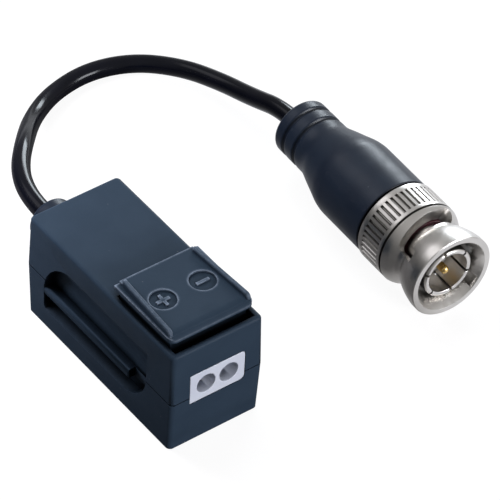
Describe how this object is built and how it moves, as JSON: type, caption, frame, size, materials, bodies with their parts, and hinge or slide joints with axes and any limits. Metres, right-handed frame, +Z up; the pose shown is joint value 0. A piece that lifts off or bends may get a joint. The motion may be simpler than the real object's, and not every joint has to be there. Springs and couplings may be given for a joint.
{
  "type": "cctv video balun",
  "caption": "Passive video balun: a small housing with a push-in wire terminal under a press lever, and a short coaxial lead to a bayonet plug.",
  "frame": {"origin": "middle of the housing's underside, without the lead and plug", "axes": "+Z up, -Y towards the wire holes, +X towards the plug; +Y is the housing's length"},
  "size_m": [0.0605, 0.0759, 0.0221],
  "materials": {
    "housing_plastic": "satin moulded, fine texture",
    "terminal_plastic": "satin moulded",
    "boot_plastic": "satin moulded",
    "cable_jacket": "smooth, slightly glossy",
    "nickel": "bright nickel plate",
    "gilt": "gilt",
    "spring_steel": "plain",
    "contact_metal": "tinned",
    "board_laminate": "lacquered",
    "ferrite": "fired",
    "winding_wire": "enamelled",
    "component_black": "moulded",
    "component_blue": "lacquer dipped",
    "gasket_rubber": "soft moulded",
    "insulator_plastic": "milky",
    "dielectric": "milky"
  },
  "bodies": {
    "housing": {"housing_base": "housing_plastic", "housing_cover": "housing_plastic", "hinge_pin": "spring_steel", "terminal_block": "terminal_plastic", "clamp_spring_left": "spring_steel", "clamp_spring_right": "spring_steel", "contact_bar_left": "contact_metal", "contact_bar_right": "contact_metal", "circuit_board": "board_laminate", "transformer_core": "ferrite", "transformer_winding": "winding_wire", "surge_diode_left": "component_black", "surge_diode_right": "component_black", "disc_capacitor": "component_blue", "cable_gland": "boot_plastic", "cable_tail": "dielectric", "coax_cable": "cable_jacket", "plug_body": "nickel", "sealing_gasket": "gasket_rubber", "wave_washer": "spring_steel", "retaining_ring": "spring_steel", "insulator": "insulator_plastic", "centre_contact": "gilt", "crimp_ferrule": "nickel", "plug_cable_end": "cable_jacket", "boot": "boot_plastic"},
    "lever": {"press_lever": "housing_plastic"},
    "nut": {"coupling_nut": "nickel"}
  },
  "joints": [
    {"name": "lever_press", "type": "hinge", "parent": "housing", "child": "lever", "pos_m": [0, 0, 0.0159], "axis": [1, 0, 0], "range_deg": [0, 4.4], "stiffness_Nm_per_rad": 0.01, "springref_deg": -17.19, "deforming": ["clamp_spring_left", "clamp_spring_right"]},
    {"name": "nut_turn", "type": "hinge", "parent": "housing", "child": "nut", "pos_m": [0.0446, -0.00816, 0.00725], "axis": [0.0401, 0.9992, 0], "continuous": true}
  ]
}
